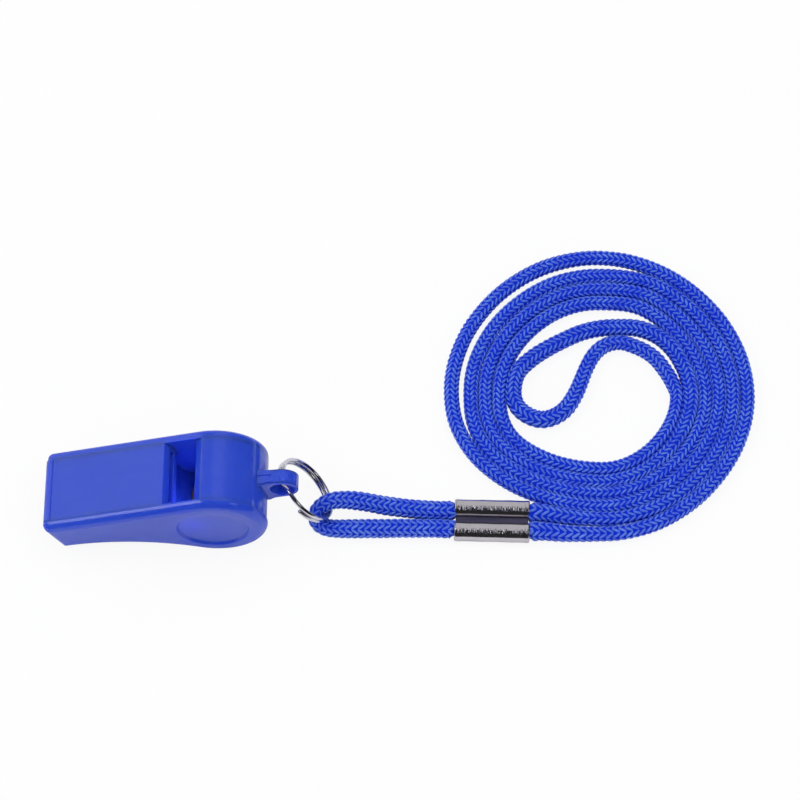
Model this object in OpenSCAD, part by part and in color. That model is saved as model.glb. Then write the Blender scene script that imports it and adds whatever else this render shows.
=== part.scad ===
// Pea whistle on a split ring, with a knitted neck cord held by a double-barrel crimp.
// Millimetres. +Z is up, the whistle lies along X with its mouthpiece towards -X,
// and the origin is on the table, under the middle of the whistle and its ring.

/* [Whistle] */
// Outer radius of the round chamber
chamber_r = 11.4; // [10.6:0.1:12.4]
// From the chamber's axis to the top of the mouth end, along the flat top
tip_reach = 36.3; // [33:0.1:40]
// Height of the mouth end
tip_height = 10.5; // [9.4:0.1:11]
// How far the foot of the mouth end lies back from its top
tip_lean = 0.9; // [0:0.1:1.6]
// Radius of the hollow underside of the mouthpiece
belly_r = 45; // [38:1:60]
// Whole width across both side plates
whistle_w = 19; // [17.4:0.2:21]
// Thickness of each side plate
plate_t = 2.2; // [2.1:0.1:2.6]
// Edge fillet of the side plates
edge_r = 2; // [0.8:0.1:2]
// Rounding of the mouth end's upper corner
tip_top_r = 1.7; // [1:0.1:2.2]
// Rounding of the mouth end's lower corner
tip_low_r = 0.7; // [0.4:0.1:1.2]
// How far the middle section lies under the plates' outline
seam_step = 0.25; // [0.1:0.05:0.5]
// Width of the lip band across the mouth end
lip_band = 2.2; // [1.5:0.1:3.5]

/* [Side recess] */
// Radius of the round recess in each side plate
recess_r = 7.8; // [6.5:0.1:8.4]
// Depth of that recess
recess_d = 0.6; // [0.3:0.1:0.9]
// Offset of the recess from the chamber's axis, towards the mouth
recess_shift = 0.45; // [0:0.05:0.8]

/* [Windway and window] */
// Wall round the chamber
chamber_wall = 1.8; // [1.4:0.1:2.3]
// Thickness of the roof over the windway
roof_t = 1.6; // [1.2:0.1:2]
// Where the roof ends at the top face, back from the chamber's axis
roof_end = 7.75; // [7.4:0.05:8.6]
// How far the roof's end face slopes forward under the top face
roof_slope = 0.85; // [0.3:0.05:1.1]
// Height of the windway where the air leaves it
slot_h = 1.5; // [1:0.1:2]
// Where the windway's floor ends, back from the chamber's axis
languid_end = 6.7; // [6.2:0.1:7.2]
// Height of the windway at the mouth
mouth_h = 6.4; // [5.5:0.1:6.8]
// Wall on each side of the windway, inside the plates
windway_wall = 1.2; // [0.8:0.1:2]
// Sharp edge of the window, back from the chamber's axis
edge_back = 0.8; // [0.4:0.05:1.6]
// Depth of that sharp edge under the middle section's top face
edge_drop = 1.3; // [0.9:0.1:1.6]
// Length of the sharp edge's bevel along the whistle
bevel_l = 1.85; // [1.2:0.05:2.4]

/* [Lug] */
// Lug hole's centre, along the whistle from the chamber's axis
hole_u = 14.9; // [14.4:0.1:15.4]
// Lug hole's centre, below the chamber's axis line
hole_drop = 1.25; // [0.5:0.05:2.5]
// Diameter of the lug hole
hole_d = 5.2; // [5:0.1:5.6]
// Outer radius of the lug's rounded end
lug_r = 3.5; // [3.4:0.1:4]
// Thickness of the lug
lug_t = 3.5; // [3:0.1:3.9]
// Chamfer round each mouth of the hole
hole_chamfer = 0.6; // [0.2:0.05:0.7]
// Width of the lug where it grows out of the chamber
lug_root_t = 4.1; // [3.9:0.1:7]
// Half height of the lug at the chamber's axis
lug_root_h = 4.1; // [4:0.1:6]

/* [Pea] */
// Diameter of the cork pea
pea_d = 11; // [9:0.5:12]
// Clearance between the pea and the chamber
pea_gap = 0.25; // [0.1:0.05:0.5]

/* [Split ring] */
// Radius of the ring's centre line
ring_r = 7.4; // [7.2:0.1:7.7]
// Thickness of the ring's wire
wire_d = 0.95; // [0.8:0.05:1]
// Gap between the two turns of wire
turn_gap = 0.05; // [0.05:0.01:0.1]

/* [Crimp] */
// Length of the crimp
crimp_l = 16.4; // [14:0.2:20]
// Outer diameter of each barrel
barrel_d = 4.3; // [3.7:0.1:4.6]
// Bore of each barrel
barrel_bore = 3.1; // [3:0.05:3.3]
// Distance between the two barrels' axes
barrel_gap = 5.45; // [4.8:0.05:5.8]
// Thickness of the web between the barrels
web_t = 1.2; // [0.8:0.1:2]

/* [Cord] */
// Cord at the eye, before it is drawn round the ring
eye_d = 4; // [3.4:0.1:4.2]
// Cord where it is drawn tight round the ring
bight_d = 2.9; // [2.6:0.1:3]
// Cord across its flats in the coil
coil_cord_w = 2.4; // [2:0.1:2.5]
// Cord where it leaves the crimp for the coil
lead_d = 3.8; // [3:0.1:4]
// Radius of the outer turn of the coil
coil_r = 33.15; // [33.1:0.05:36]
// Distance from one strand of the coil to the next
strand_pitch = 3.1; // [3.05:0.05:3.3]

/* [Hidden] */

$fn = 64;
cut = 1;

// Mouthpiece outline, in the whistle's own plane: u along the flat top, n square to it
tip_foot = [tip_lean - tip_reach, chamber_r - tip_height];
tip_angle = -atan2(tip_lean, tip_height);
tip_slope = tan(tip_angle);
tilt = asin(chamber_r / norm(tip_foot)) + atan2(tip_foot[1], -tip_foot[0]);
belly_reach = belly_r + chamber_r;
foot_reach = norm(tip_foot);
belly_open = acos((belly_reach * belly_reach + foot_reach * foot_reach - belly_r * belly_r)
                  / (2 * belly_reach * foot_reach));
belly_angle = 180 - atan2(tip_foot[1], -tip_foot[0]) + belly_open;
belly_c = belly_reach * [cos(belly_angle), sin(belly_angle)];
corner_steps = 6;
belly_steps = 12;
chamber_steps = 44;
corner_min_r = 0.15;

// Side plates
inner_w = whistle_w - 2 * plate_t;
fillet_steps = 6;

// Windway and window
roof_n = chamber_r - seam_step;
bore_r = roof_n - chamber_wall;
slot_roof_n = roof_n - roof_t;
slot_floor_n = slot_roof_n - slot_h;
floor_slope = (mouth_h - slot_h) / (tip_reach - languid_end);
windway_w = inner_w - 2 * windway_wall;

// Lug
hole_c = [hole_u, -hole_drop];
lug_turn = atan2(hole_c[1], hole_c[0]);
lug_flare_l = 1.4;

// Split ring: its middle from the lug hole, its axis, and where its two turns open
ring_from_hole = [4.8, 1.6, -7.1];
ring_axis_share = [0.72, 0.28, 0.635];
ring_axis = ring_axis_share / norm(ring_axis_share);
ring_down = unit(cross(cross(ring_axis, [0, 0, -1]), ring_axis));
ring_near = cross(ring_down, ring_axis);
turn_pitch = wire_d + turn_gap;
ring_cut_at = 128;
ring_turn = 300;
ring_open = 60;
ring_jog = 25;
ring_step = 10;
wire_sides = 10;

// The whistle and its ring stand with their middle over the origin
mouth_top_c = [tip_foot[0] + tip_slope * (tip_height - tip_top_r) + tip_top_r / cos(tip_angle),
               chamber_r - tip_top_r];
whistle_left = mouth_top_c[0] * cos(tilt) - mouth_top_c[1] * sin(tilt) - tip_top_r;
hole_x = hole_u * cos(tilt) + hole_drop * sin(tilt);
hole_z = hole_u * sin(tilt) - hole_drop * cos(tilt) + chamber_r;
ring_right = hole_x + ring_from_hole[0] + (turn_pitch / 2) * ring_axis[0]
           + ring_r * norm([ring_axis[1], ring_axis[2]]) + wire_d / 2;
axis_x = -(whistle_left + ring_right) / 2;
ring_c = [axis_x + hole_x, 0, hole_z] + ring_from_hole;

// Crimp, from the middle of the ring, and the coil's middle, from the crimp
crimp_from_ring = [40.7, -3.95];
crimp_turn = -0.8;
crimp_c = [ring_c[0] + crimp_from_ring[0], ring_c[1] + crimp_from_ring[1], barrel_d / 2];
coil_from_crimp = [23.7, 31.9];
coil_c = [crimp_c[0] + coil_from_crimp[0], crimp_c[1] + coil_from_crimp[1], 0];
cord_gap = 0.1;
seat_r = barrel_bore / 2 - cord_gap;
seat_l = 4;
neck_l = 0.4;

// Eye: points along the crimp's axis, across it and above the table, round the ring's wire
eye_points = [
    [-11.5, 2.15, 2.2], [-17.2, 2.35, 2.2], [-23.2, 2.75, 2.7], [-28.2, 2.95, 4.1],
    [-32.2, 2.6, 5.5], [-35.2, 1.95, 6.1], [-37.2, 0.95, 5.4], [-38.2, -0.25, 4.1],
    [-37.9, -1.65, 2.8], [-36.2, -2.65, 2.4], [-33.8, -2.95, 2.45], [-30.2, -2.8, 2.35],
    [-26, -2.6, 2.2], [-20, -2.35, 2.2], [-13, -2.15, 2.2]
];
// The eye is drawn thinner from here on, until its girth is least here
eye_thin_from = -30;
eye_thin_to = -37;
eye_up_share = [0, -0.46, 0.89];
eye_sides = 8;
eye_steps = 2;

// Leads from the crimp to the coil: points from the middle of the coil
outer_lead = [[-12.2, -34.2], [-7.8, -34.55], [-3.8, -34.6]];
inner_lead = [[-12.1, -29.9], [-7.9, -30.5], [-3.9, -30.85]];

// Coil: the doubled cord runs inwards from its lowest point, two strands side by side
coil_from = -90;
coil_to = 720;
coil_step = 15;
cord_sides = 6;
cord_rise_r = coil_cord_w / 2 / cos(180 / cord_sides);
// Where each turn steps in past the strand beside it, and over what angle
step_in_at = 190;
step_in_over = 78;
// Oval and squareness of the coil, wider spread at the far side, tighter at the near side
oval = 0.55;
squareness = 0.25;
far_spread = 0.3;
near_draw = 0.1;
// Outer strand swings out near the crimp, and a gap opens inside it
lead_swing = 0.55;
lead_swing_over = 65;
far_gap = 1.3;
gap_open_at = 62;
gap_open_over = 28;
gap_close_at = 180;
gap_close_over = 36;

// Fold that joins the two strands in the middle: points from the middle of the coil
fold_points = [
    [19.3, 5.6], [17.1, 10.2], [13.6, 13.9], [9, 16], [4.1, 16.2], [-0.2, 15.8], [-4.1, 14.7],
    [-7.7, 12.9], [-11.2, 10.9], [-14.8, 8.3], [-18.1, 4.6], [-19.1, -0.3], [-18.1, -3.9],
    [-15.7, -6.1], [-12.7, -7], [-9.7, -6.1], [-7.3, -4.1], [-5.4, -0.9], [-4.1, 2.4],
    [-2.8, 6], [-1.1, 9.3], [1.4, 11.7], [4.8, 12.6], [8.3, 11.5], [11, 10], [13.2, 7.9],
    [15.5, 4.4]
];
fold_steps = 2;
// Places along the cord nearer than this many rings aren't compared for its least gap
gap_skip = 6;

// Colours
shell_blue = [0.06, 0.16, 0.62];
cork_tan = [0.72, 0.55, 0.36];
nickel = [0.72, 0.72, 0.72];
gunmetal = [0.38, 0.38, 0.4];
cord_blue = [0.1, 0.2, 0.6];

function unit(v) = v / norm(v);
function smooth(x) = let(c = min(1, max(0, x))) c * c * (3 - 2 * c);
function mix(a, b, share) = a + (b - a) * share;

// Points of an arc, without its last
function arc(c, r, from, to, steps) = [
    for (i = [0:steps - 1]) let(a = mix(from, to, i / steps)) c + r * [cos(a), sin(a)]
];

// Outline of the whistle, set in all round by a distance
function outline(inset) =
    let(top = chamber_r - inset,
        foot_u = tip_foot[0] - tip_slope * tip_foot[1] + inset / cos(tip_angle),
        top_r = max(tip_top_r - inset, corner_min_r),
        low_r = max(tip_low_r - inset, corner_min_r),
        top_c = [foot_u + tip_slope * (top - top_r) + top_r / cos(tip_angle), top - top_r],
        low_u = foot_u + low_r / cos(tip_angle),
        reach = belly_r + inset + low_r,
        a = 1 + tip_slope * tip_slope,
        b = tip_slope * (low_u - belly_c[0]) - belly_c[1],
        c = pow(low_u - belly_c[0], 2) + pow(belly_c[1], 2) - reach * reach,
        low_n = (-b + sqrt(b * b - a * c)) / a,
        low_c = [low_u + tip_slope * low_n, low_n],
        rise = low_c - belly_c,
        rise_angle = atan2(rise[1], rise[0]))
    concat(arc(top_c, top_r, 90, 180 - tip_angle, corner_steps),
           arc(low_c, low_r, 180 - tip_angle, rise_angle + 180, corner_steps),
           arc(belly_c, belly_r + inset, rise_angle, belly_angle - 180, belly_steps),
           arc([0, 0], top, belly_angle, 450, chamber_steps),
           [[0, top]]);

// Triangles between layers of points that have as many points each
function skin(layers, count) = [
    for (i = [0:layers - 2], k = [0:count - 1])
        let(a = i * count + k, b = i * count + (k + 1) % count)
            each [[a, b, a + count], [b, b + count, a + count]]
];

// Flat cap over a layer of a convex tube, as triangles
function cap(first, count, last) = [
    for (k = [1:count - 2]) last ? [first, first + k, first + k + 1]
                                 : [first, first + k + 1, first + k]
];

// Smooth curve through points
function bend(p, i, t) =
    let(a = p[max(i - 1, 0)], b = p[i], c = p[i + 1], d = p[min(i + 2, len(p) - 1)])
    (2 * b + (c - a) * t + (2 * a - 5 * b + 4 * c - d) * t * t
     + (3 * b - a - 3 * c + d) * t * t * t) / 2;
function curve(p, steps) = [
    for (i = [0:len(p) - 2], j = [0:steps - 1]) bend(p, i, j / steps),
    p[len(p) - 1]
];

function flow(path, i) = unit(path[min(i + 1, len(path) - 1)] - path[max(i - 1, 0)]);

// Solid tube along a path, with a radius at each point and one corner facing up
module tube(path, radii, sides, up) {
    points = [
        for (i = [0:len(path) - 1])
            let(along = flow(path, i),
                side = unit(cross(along, up)),
                rise = cross(side, along))
            for (k = [0:sides - 1])
                let(a = 90 + 360 * k / sides)
                    path[i] + radii[i] * (cos(a) * side + sin(a) * rise)
    ];
    faces = concat(skin(len(path), sides), cap(0, sides, false),
                   cap((len(path) - 1) * sides, sides, true));
    polyhedron(points, faces);
}

// From the whistle's own plane to its place on the table
module whistle_place() {
    translate([axis_x, 0, chamber_r])
        rotate([0, -tilt, 0])
            children();
}

// Outline in the whistle's plane, as a slab of a width, centred
module across(w) {
    rotate([90, 0, 0])
        linear_extrude(height = w, center = true)
            children();
}

module lug() {
    far_l = norm(hole_c) + 2 * lug_r;
    intersection() {
        across(lug_root_t) {
            translate(hole_c) circle(r = lug_r);
            rotate(lug_turn)
                polygon([[0, -lug_root_h], [norm(hole_c), -lug_r],
                         [norm(hole_c), lug_r], [0, lug_root_h]]);
        }
        rotate([0, -lug_turn, 0])
            linear_extrude(height = 2 * far_l, center = true)
                polygon([[0, -lug_root_t / 2], [chamber_r, -lug_root_t / 2],
                         [chamber_r + lug_flare_l, -lug_t / 2], [far_l, -lug_t / 2],
                         [far_l, lug_t / 2], [chamber_r + lug_flare_l, lug_t / 2],
                         [chamber_r, lug_root_t / 2], [0, lug_root_t / 2]]);
    }
}

module lug_hole() {
    translate([hole_c[0], 0, hole_c[1]]) {
        rotate([90, 0, 0])
            cylinder(d = hole_d, h = lug_t + 2 * cut, center = true);
        for (side = [-1, 1])
            translate([0, side * (lug_t / 2 - hole_chamfer), 0])
                rotate([-90 * side, 0, 0])
                    cylinder(h = hole_chamfer + cut, r1 = hole_d / 2,
                             r2 = hole_d / 2 + hole_chamfer + cut);
    }
}

module window_cut() {
    across(inner_w + 2 * cut)
        polygon([[-roof_end, roof_n + cut], [-roof_end, roof_n],
                 [-roof_end + roof_slope, slot_roof_n], [-languid_end, slot_floor_n],
                 [-languid_end, bore_r / 2], [-edge_back, bore_r / 2],
                 [-edge_back, roof_n - edge_drop], [-edge_back + bevel_l, roof_n],
                 [-edge_back + bevel_l, roof_n + cut]]);
}

module windway_cut() {
    mouth_u = -tip_reach - cut;
    mouth_floor = slot_floor_n + floor_slope * (mouth_u + languid_end);
    across(windway_w)
        polygon([[mouth_u, slot_roof_n], [mouth_u, mouth_floor],
                 [-languid_end, slot_floor_n], [-languid_end, slot_roof_n]]);
}

module whistle_body() {
    color(shell_blue)
        whistle_place()
            difference() {
                union() {
                    across(inner_w) polygon(outline(seam_step));
                    across(inner_w)
                        intersection() {
                            polygon(outline(0));
                            translate([-tip_reach - cut, 0])
                                square([lip_band + cut, chamber_r + cut]);
                        }
                    lug();
                }
                rotate([90, 0, 0])
                    cylinder(r = bore_r, h = inner_w + 2 * cut, center = true);
                window_cut();
                windway_cut();
                lug_hole();
            }
}

// One side plate: flat inside, rounded over all round outside, with a shallow round recess
module side_plate(side) {
    flat_t = plate_t - edge_r;
    layers = concat([[0, 0]], [
        for (i = [0:fillet_steps])
            let(a = 90 * i / fillet_steps) [flat_t + edge_r * sin(a), edge_r * (1 - cos(a))]
    ]);
    count = len(outline(0));
    whistle_place()
        mirror([0, side < 0 ? 1 : 0, 0])
            difference() {
                polyhedron(
                    points = [
                        for (layer = layers)
                            for (p = outline(layer[1])) [p[0], inner_w / 2 + layer[0], p[1]]
                    ],
                    faces = concat(skin(len(layers), count),
                                   [[for (k = [0:count - 1]) count - 1 - k]],
                                   [[for (k = [0:count - 1]) (len(layers) - 1) * count + k]])
                );
                translate([-recess_shift, inner_w / 2 + plate_t - recess_d, 0])
                    rotate([-90, 0, 0])
                        cylinder(r = recess_r, h = recess_d + cut);
            }
}

module near_side_plate() {
    color(shell_blue) side_plate(-1);
}

module far_side_plate() {
    color(shell_blue) side_plate(1);
}

module pea() {
    color(cork_tan)
        translate([axis_x, 0, chamber_r - bore_r + pea_gap + pea_d / 2])
            sphere(d = pea_d);
}

// Wire place after a sweep from the cut end: one turn, the open stretch, the next turn
function ring_point(sweep) =
    let(a = ring_cut_at - sweep,
        side = smooth((sweep - ring_turn) / ring_jog) - 1 / 2)
    ring_c + turn_pitch * side * ring_axis + ring_r * (cos(a) * ring_down + sin(a) * ring_near);

module split_ring() {
    path = [for (s = [0:ring_step:2 * ring_turn + ring_open]) ring_point(s)];
    color(nickel)
        tube(path, [for (p = path) wire_d / 2], wire_sides, ring_axis);
}

module crimp() {
    color(gunmetal)
        translate(crimp_c)
            rotate([0, 0, crimp_turn])
                difference() {
                    union() {
                        for (side = [-1, 1])
                            translate([0, side * barrel_gap / 2, 0])
                                rotate([0, 90, 0])
                                    cylinder(d = barrel_d, h = crimp_l, center = true);
                        cube([crimp_l, barrel_gap, web_t], center = true);
                    }
                    for (side = [-1, 1])
                        translate([0, side * barrel_gap / 2, 0])
                            rotate([0, 90, 0])
                                cylinder(d = barrel_bore, h = crimp_l + 2 * cut, center = true);
                }
}

// Place from the crimp's own directions: along it, across it, and above the table
function by_crimp(p) = [
    crimp_c[0] + p[0] * cos(crimp_turn) - p[1] * sin(crimp_turn),
    crimp_c[1] + p[0] * sin(crimp_turn) + p[1] * cos(crimp_turn),
    p[2]
];

// Cord inside one barrel, from its inner end out past the barrel's mouth
function barrel_run(end, side) = [
    for (x = [crimp_l / 2 - seat_l, crimp_l / 2, crimp_l / 2 + neck_l])
        by_crimp([end * x, side * barrel_gap / 2, barrel_d / 2])
];
function backwards(p) = [for (i = [len(p) - 1:-1:0]) p[i]];

function eye_girth(p) =
    let(along = (p - crimp_c) * [cos(crimp_turn), sin(crimp_turn), 0])
    mix(eye_d, bight_d, smooth((along - eye_thin_from) / (eye_thin_to - eye_thin_from)));

module cord_eye() {
    loose = curve([for (p = eye_points) by_crimp(p)], eye_steps);
    path = concat(barrel_run(-1, 1), loose, backwards(barrel_run(-1, -1)));
    last = len(path) - 1;
    radii = [
        for (i = [0:last]) i < 2 || i > last - 2 ? seat_r : eye_girth(path[i]) / 2
    ];
    color(cord_blue)
        tube(path, radii, eye_sides, unit(eye_up_share));
}

// Distance of a strand from the coil's middle: strand 0 is the outer one, strand 1 the inner
function coil_reach(strand, angle) =
    let(turned = smooth((angle - step_in_at) / step_in_over)
               + smooth((angle - 360 - step_in_at) / step_in_over)
               + smooth((angle - 720 - step_in_at) / step_in_over),
        rank = strand + 2 * turned,
        far = max(0, sin(angle)),
        near = max(0, -sin(angle)),
        lap = angle - 360 * floor(angle / 360),
        open = smooth((lap - gap_open_at) / gap_open_over)
             * (1 - smooth((lap - gap_close_at) / gap_close_over)),
        swing = lead_swing * (1 - smooth((angle - coil_from) / lead_swing_over)),
        oval_r = coil_r - oval * cos(2 * angle) + squareness * cos(4 * angle))
    oval_r + (strand == 0 ? swing : 0)
    - rank * (strand_pitch + far_spread * far - near_draw * near)
    - min(1, rank) * far_gap * open;

function by_coil(p) = [coil_c[0] + p[0], coil_c[1] + p[1], cord_rise_r];
function coil_strand(strand) = [
    for (a = [coil_from:coil_step:coil_to])
        by_coil(coil_reach(strand, a) * [cos(a), sin(a)])
];

// A lead sinks and thins from the crimp's mouth to the coil
function lead(points) = [
    for (i = [0:len(points) - 1])
        let(p = by_coil(points[i]), share = (i + 1) / (len(points) + 1))
            [p[0], p[1], mix(barrel_d / 2, cord_rise_r, share)]
];

neck_path = concat(barrel_run(1, -1), lead(outer_lead), coil_strand(0),
                   curve([for (p = fold_points) by_coil(p)], fold_steps),
                   backwards(coil_strand(1)), backwards(lead(inner_lead)),
                   backwards(barrel_run(1, 1)));
lead_rings = 3 + len(outer_lead);
function neck_girth(i) =
    let(n = min(i, len(neck_path) - 1 - i))
    n < 2 ? seat_r
          : mix(lead_d / 2, cord_rise_r, min(1, max(0, (n - 2) / (lead_rings - 2))));

function to_run(p, a, b) =
    let(run = b - a, t = min(1, max(0, (p - a) * run / (run * run)))) norm(p - a - t * run);
least_gap = min([
    for (i = [0:len(neck_path) - 2])
        for (j = [i + gap_skip:1:len(neck_path) - 2])
            min(to_run(neck_path[i], neck_path[j], neck_path[j + 1]),
                to_run(neck_path[j], neck_path[i], neck_path[i + 1]))
            - cos(180 / cord_sides) * (neck_girth(i) + neck_girth(j))
]);
cord_length = [
    for (i = 0, sum = 0; i < len(neck_path) - 1;
         sum = sum + norm(neck_path[i + 1] - neck_path[i]), i = i + 1) sum
];

module neck_cord() {
    echo(least_gap_of_neck_cord = least_gap, length_of_neck_cord = cord_length[len(cord_length) - 1]);
    color(cord_blue)
        tube(neck_path, [for (i = [0:len(neck_path) - 1]) neck_girth(i)], cord_sides, [0, 0, 1]);
}

whistle_body();
near_side_plate();
far_side_plate();
pea();
split_ring();
crimp();
cord_eye();
neck_cord();
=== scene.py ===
import bpy
import numpy as np
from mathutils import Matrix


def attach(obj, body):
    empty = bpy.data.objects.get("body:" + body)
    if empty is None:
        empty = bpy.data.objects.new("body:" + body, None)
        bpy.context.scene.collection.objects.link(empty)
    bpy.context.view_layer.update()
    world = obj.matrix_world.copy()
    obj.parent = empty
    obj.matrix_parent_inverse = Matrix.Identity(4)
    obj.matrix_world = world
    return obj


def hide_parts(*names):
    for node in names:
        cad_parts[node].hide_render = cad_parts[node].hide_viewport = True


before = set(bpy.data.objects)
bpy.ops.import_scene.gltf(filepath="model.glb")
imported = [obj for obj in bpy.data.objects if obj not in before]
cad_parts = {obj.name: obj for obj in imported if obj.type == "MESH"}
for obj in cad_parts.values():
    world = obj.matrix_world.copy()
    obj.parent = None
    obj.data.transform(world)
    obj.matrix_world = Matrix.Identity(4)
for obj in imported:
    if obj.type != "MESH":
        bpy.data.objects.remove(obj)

# A pea whistle on a split ring, with a knitted neck cord held by a double-barrel crimp.
# Lengths are millimetres in the formulas, and metres in the meshes.

MM = 0.001
HALF = 0.5
TURN = 2 * np.pi
RIGHT_ANGLE = np.pi / 2
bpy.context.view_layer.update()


# Camera

def turned(vector, degrees):
    """A vector turned about the upright axis."""
    a = np.radians(degrees)
    x, y, z = vector
    return np.array([x * np.cos(a) - y * np.sin(a), x * np.sin(a) + y * np.cos(a), z])


def unit(v):
    """Vectors at length one, along the last axis."""
    v = np.asarray(v, dtype=float)
    return v / np.linalg.norm(v, axis=-1, keepdims=True)


CAMERA_AIM = np.array([45.51, 27.94, 0])
CAMERA_AWAY = 889
CAMERA_DROP = 63.5
CAMERA_TURN = 0.8
LENS = 180
SENSOR = 36
CLIP_START = 0.01


def aim_camera():
    """The camera looks down at the table along one line, over the middle of the object."""
    down = np.radians(CAMERA_DROP)
    ahead = turned((0, np.cos(down), -np.sin(down)), CAMERA_TURN)
    side = turned((1, 0, 0), CAMERA_TURN)
    rise = np.cross(side, ahead)
    data = bpy.data.cameras.new("camera")
    data.lens = LENS
    data.sensor_width = SENSOR
    data.clip_start = CLIP_START
    camera = bpy.data.objects.new("camera", data)
    bpy.context.collection.objects.link(camera)
    place = np.eye(4)
    place[:3, 0] = side
    place[:3, 1] = rise
    place[:3, 2] = -ahead
    place[:3, 3] = (CAMERA_AIM - CAMERA_AWAY * ahead) * MM
    camera.matrix_world = place.T.tolist()
    bpy.context.scene.camera = camera


# Finishes

class Wire:
    """A number, colour or vector that a node gives, with Python's own signs for its sums."""

    def __init__(self, finish, socket):
        self.finish = finish
        self.socket = socket

    def sum(self, operation, first, second):
        return self.finish.node("ShaderNodeMath", {"operation": operation}, {0: first, 1: second})

    def __add__(self, other):
        return self.sum("ADD", self, other)

    __radd__ = __add__

    def __sub__(self, other):
        return self.sum("SUBTRACT", self, other)

    def __rsub__(self, other):
        return self.sum("SUBTRACT", other, self)

    def __mul__(self, other):
        return self.sum("MULTIPLY", self, other)

    __rmul__ = __mul__

    def __truediv__(self, other):
        return self.sum("DIVIDE", self, other)

    def __pow__(self, other):
        return self.sum("POWER", self, other)


class Finish:
    """A material, or the world, whose nodes are written as sums."""

    def __init__(self, name, tree=None):
        if tree is None:
            self.material = bpy.data.materials.new(name)
            self.material.use_nodes = True
            tree = self.material.node_tree
        self.tree = tree
        self.shader = tree.nodes.get("Principled BSDF")

    def node(self, kind, settings=None, sockets=None, out=0):
        """A node of that kind, with its settings made before its sockets are filled or wired."""
        made = self.tree.nodes.new(kind)
        for name, value in (settings or {}).items():
            if name == "stops":
                ramp = made.color_ramp.elements
                while len(ramp) < len(value):
                    ramp.new(HALF)
                for element, (place, level) in zip(ramp, value):
                    element.position = place
                    element.color = (level, level, level, 1)
            else:
                setattr(made, name, value)
        for key, value in (sockets or {}).items():
            self.fill(made.inputs[key], value)
        return Wire(self, made.outputs[out])

    def fill(self, socket, value):
        if isinstance(value, Wire):
            self.tree.links.new(value.socket, socket)
        else:
            socket.default_value = value

    def set(self, **values):
        """Values or wires for the main shader's own sockets, named with underscores for spaces."""
        for name, value in values.items():
            self.fill(self.shader.inputs[name.replace("_", " ")], value)

    def also(self, wire, name):
        """Another output of the node that a wire comes from."""
        return Wire(self, wire.socket.node.outputs[name])

    def place(self, stretch=(1, 1, 1)):
        """Where a point is on the object, in metres, stretched along each axis."""
        at = self.node("ShaderNodeTexCoord", out="Object")
        return self.node("ShaderNodeMapping", {}, {"Vector": at, "Scale": stretch})

    def noise(self, scale, stretch=(1, 1, 1), detail=2.0, where=None):
        where = where or self.place(stretch)
        return self.node("ShaderNodeTexNoise", {}, {
            "Vector": where, "Scale": scale, "Detail": detail}, out="Fac")

    def ramp(self, factor, *stops):
        return self.node("ShaderNodeValToRGB", {"stops": stops}, {"Fac": factor})

    def blend(self, share, first, second):
        """One colour turning into another by a share from 0 to 1."""
        return self.node("ShaderNodeMix", {"data_type": "RGBA"}, {
            "Factor": share, 6: first, 7: second}, out=2)

    def bump(self, height, depth):
        """A normal from a height map whose full range is that many metres deep."""
        self.set(Normal=self.node("ShaderNodeBump", {}, {
            "Height": height, "Distance": depth, "Strength": 1.0}))


def colour(red, green, blue):
    """A colour written as its levels on a screen from 0 to 255, as the light that it reflects."""
    level = np.array([red, green, blue]) / 255
    linear = np.where(level <= 0.04045, level / 12.92, ((level + 0.055) / 1.055) ** 2.4)
    return (*linear.tolist(), 1.0)


def moulded_plastic():
    """Glossy blue plastic that light enters a little way, with faint flow marks and a slight ripple."""
    f = Finish("moulded_plastic")
    flow = f.noise(130, stretch=(0.5, 1.6, 1), detail=3)
    f.set(Base_Color=f.blend(flow, colour(41, 73, 198), colour(51, 85, 206)),
          Roughness=0.09 + 0.07 * flow)
    f.bump(f.noise(160), depth=0.00003)
    f.set(IOR=1.5, Subsurface_Weight=0.9, Subsurface_Radius=(0.12, 0.22, 1.0),
          Subsurface_Scale=0.003)
    return f.material


def cork():
    """Cork, darker than real tan cork as painted shade for its place inside the chamber, with dark pits
    and streaks of lighter grain.
    """
    f = Finish("cork")
    grain = f.noise(900, detail=4)
    pits = f.ramp(f.noise(1500), (0.30, 1), (0.42, 0))
    # Painted shade: both browns are kept darker than real cork, so that the pea reads as shaded inside the
    # chamber.
    tan = f.blend(grain, colour(62, 44, 30), colour(96, 70, 46))
    f.set(Base_Color=f.blend(pits, tan, colour(34, 24, 16)), Roughness=0.86 + 0.08 * grain)
    f.bump(grain - pits, depth=0.0002)
    return f.material


def nickel():
    """Bright nickel plate, with fine drawing marks and a faint uneven haze."""
    f = Finish("nickel_plate")
    marks = f.noise(1400, detail=3)
    haze = f.noise(220)
    f.set(Base_Color=f.blend(haze, colour(198, 196, 206), colour(226, 225, 232)),
          Metallic=1.0, Roughness=0.10 + 0.06 * marks)
    f.bump(marks, depth=0.000004)
    return f.material


def gunmetal():
    """Grey plated crimp, with short tooling marks across the barrels."""
    f = Finish("gunmetal_plate")
    marks = f.ramp(f.noise(2500, stretch=(1, 0.12, 0.12)), (0.44, 0), (0.60, 1))
    facing = f.node("ShaderNodeNewGeometry", out="Normal")
    split = f.node("ShaderNodeSeparateXYZ", {}, {"Vector": facing})
    towards = f.also(split, "Y") * -1.0
    struck = marks * f.ramp(towards, (0.02, 0), (0.12, 1), (0.50, 1), (0.62, 0))
    haze = f.noise(300)
    plain = f.blend(haze, colour(188, 184, 192), colour(210, 206, 212))
    f.set(Base_Color=f.blend(struck * 0.4, plain, colour(150, 148, 158)),
          Metallic=1.0, Roughness=0.13 + 0.15 * struck)
    f.bump(struck, depth=0.00012)
    return f.material


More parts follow.
